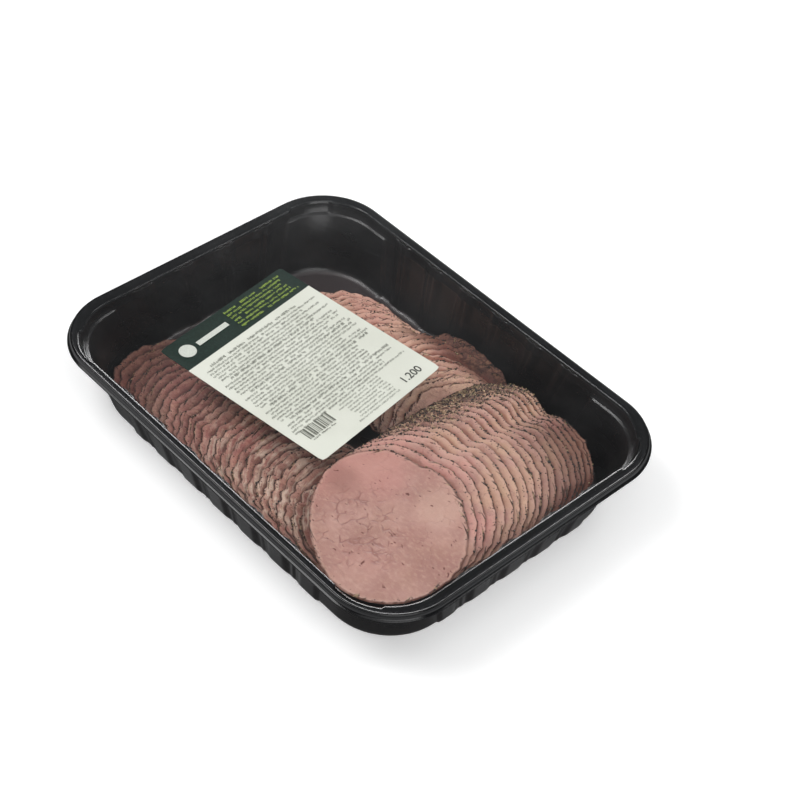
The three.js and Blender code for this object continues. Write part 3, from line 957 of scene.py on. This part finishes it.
def addFigure(material):
    # a plain number, that reads along the label's width
    figure = printing["figure"]
    text = bpy.data.curves.new("weightFigure", "FONT")
    text.body, text.size, text.offset = figure["text"], figure["size"], figure["weight"]
    letters = linked("weightFigure", text)
    bpy.context.view_layer.update()
    mesh = bpy.data.meshes.new_from_object(letters.evaluated_get(bpy.context.evaluated_depsgraph_get()))
    bpy.data.objects.remove(letters)
    bm = bmesh.new()
    bm.from_mesh(mesh)
    for vert in bm.verts:
        u, v = halfU - figure["endIn"] - vert.co.y, halfV - figure["sideIn"] + vert.co.x
        vert.co = labelPoint(u, v, printing["lift"])
    finishPiece(bm, "weight_figure", material, None)


# build

trayPiece = addTray(blackPlasticFinish())
print("tray:", len(trayPiece.data.polygons), "faces")

template = makeLeafTemplate()
allStacks = []
for row in rows:
    stacks = rowLeaves(row)
    addSlices(row, stacks, template, beefFinish(row["name"]))
    allStacks += stacks
    print("beef", row["name"], len(stacks), "nodes")
scatterGrains(allStacks, "black", grainFinish("cracked pepper", "#14110f", "#2e2723"), "pepper_grains")
scatterGrains(allStacks, "tan", grainFinish("crust crumbs", "#6b5a3e", "#a8976f"), "crust_crumbs")
print("crust scattered")

addFilm(filmFinish())
addLabel(labelFinish())
printChance = random.Random(printing["seed"])
addBodyPrint(printChance, inkFinish("grey print", "#66685f"))
addBandPrint(printChance, inkFinish("light green print", "#8ea83a"))
addPlainMark(inkFinish("white print", "#cfd3ca"))
addFigure(inkFinish("black print", "#1d1f1c"))
print("film and label placed")


# floor, light and camera

studio = {
    "floor": "#fafafa", "floorGlow": 0.22, "world": 0.45, "skyTint": (0.97, 0.985, 1),
    # the room's brightness from straight down, past the horizon, to straight up
    "sky": ((0.0, 0.2), (0.056, 0.2), (0.075, 0.8), (0.088, 0.8), (0.104, 0.15), (0.19, 0.2),
            (0.27, 2.3), (0.42, 2.3), (0.53, 0.9), (0.66, 0.3), (1.0, 0.3)),
    "azimuth": 43.6604, "elevation": 44.6595, "roll": 5.62276,
    "distance": 1025.0, "aside": -24.505, "up": 10.215, "pivotHeight": 44.5, "lens": 83.0722,
}


def addFloor():
    bm = bmesh.new()
    bmesh.ops.create_grid(bm, x_segments=4, y_segments=4, size=2.5)
    bmesh.ops.translate(bm, vec=(0, 0, -0.0002), verts=bm.verts)
    floor = linked("floor", meshFrom(bm, "floor"))
    floor.data.materials.append(Finish("pale floor").surface(
        Base_Color=studio["floor"], Roughness=0.6,
        Emission_Color="#ffffff", Emission_Strength=studio["floorGlow"]))
    floor.visible_glossy = False  # the black tray mirrors the room round it instead


def addRoom():
    # brighter or darker by height, for the tray to mirror
    bpy.context.scene.view_settings.view_transform = "Standard"  # keeps the pale ground white
    world = bpy.data.worlds.new("studio")
    bpy.context.scene.world = world
    world.use_nodes = True
    nodes, links = world.node_tree.nodes, world.node_tree.links
    heading = nodes.new("ShaderNodeSeparateXYZ")
    climb = nodes.new("ShaderNodeMath")
    climb.operation = "MULTIPLY_ADD"
    climb.inputs[1].default_value = climb.inputs[2].default_value = 0.5
    shades = nodes.new("ShaderNodeValToRGB")
    links.new(nodes.new("ShaderNodeTexCoord").outputs["Generated"], heading.inputs[0])
    links.new(heading.outputs["Z"], climb.inputs[0])
    links.new(climb.outputs[0], shades.inputs[0])
    ramp = shades.color_ramp
    while len(ramp.elements) < len(studio["sky"]):
        ramp.elements.new(1)
    for element, (height, level) in zip(ramp.elements, studio["sky"]):
        element.position, element.color = height, (*[level * tone for tone in studio["skyTint"]], 1)
    links.new(shades.outputs[0], nodes["Background"].inputs["Color"])
    nodes["Background"].inputs["Strength"].default_value = studio["world"]


def addLight(name, direction, distance, size, power, onlyMirrored=False):
    data = bpy.data.lights.new(name, "AREA")
    data.shape, data.size, data.size_y, data.energy = "RECTANGLE", *size, power
    lamp = linked(name, data)
    lamp.location = Vector(direction).normalized() * distance
    lamp.rotation_mode = "QUATERNION"
    lamp.rotation_quaternion = Vector(direction).to_track_quat("Z", "Y")
    lamp.visible_diffuse = not onlyMirrored  # a mirrored card only draws bright lines on the plastic


def addCamera():
    azimuth, elevation, roll = (math.radians(studio[key]) for key in ("azimuth", "elevation", "roll"))
    level = math.cos(elevation)
    back = Vector((math.sin(azimuth) * level, -math.cos(azimuth) * level, math.sin(elevation)))
    right = Vector((math.cos(azimuth), math.sin(azimuth), 0))
    up = back.cross(right)
    rolledRight = right * math.cos(roll) + up * math.sin(roll)
    rolledUp = up * math.cos(roll) - right * math.sin(roll)
    data = bpy.data.cameras.new("camera")
    data.lens, data.sensor_width = studio["lens"], 36
    data.clip_start, data.clip_end = 0.01, 20
    camera = linked("camera", data)
    camera.rotation_mode = "QUATERNION"
    camera.rotation_quaternion = Matrix((rolledRight, rolledUp, back)).transposed().to_quaternion()
    camera.location = (rolledUp * -studio["up"] - rolledRight * studio["aside"] + back * studio["distance"]
                       + Vector((0, 0, studio["pivotHeight"]))) * mm
    bpy.context.scene.camera = camera


addFloor()
addRoom()
addLight("key soft box", (-0.38, -0.4, 0.83), 1.6, (0.8, 0.8), 11)
addLight("ridge strip", (-0.55, -0.5, 0.66), 1.5, (0.25, 1.0), 2)
addLight("fill soft box", (0.7, -0.35, 0.62), 1.8, (1.3, 1.3), 15)
addLight("overhead soft box", (0.15, -0.1, 1), 1.6, (1.4, 1.4), 5)
addLight("right soft box", (0.34, 0.52, 0.78), 1.5, (0.7, 0.4), 4)
addLight("low rear card", (-0.6, 0.76, 0.25), 1.5, (1.1, 0.7), 20, onlyMirrored=True)
addCamera()

print("studio ready")
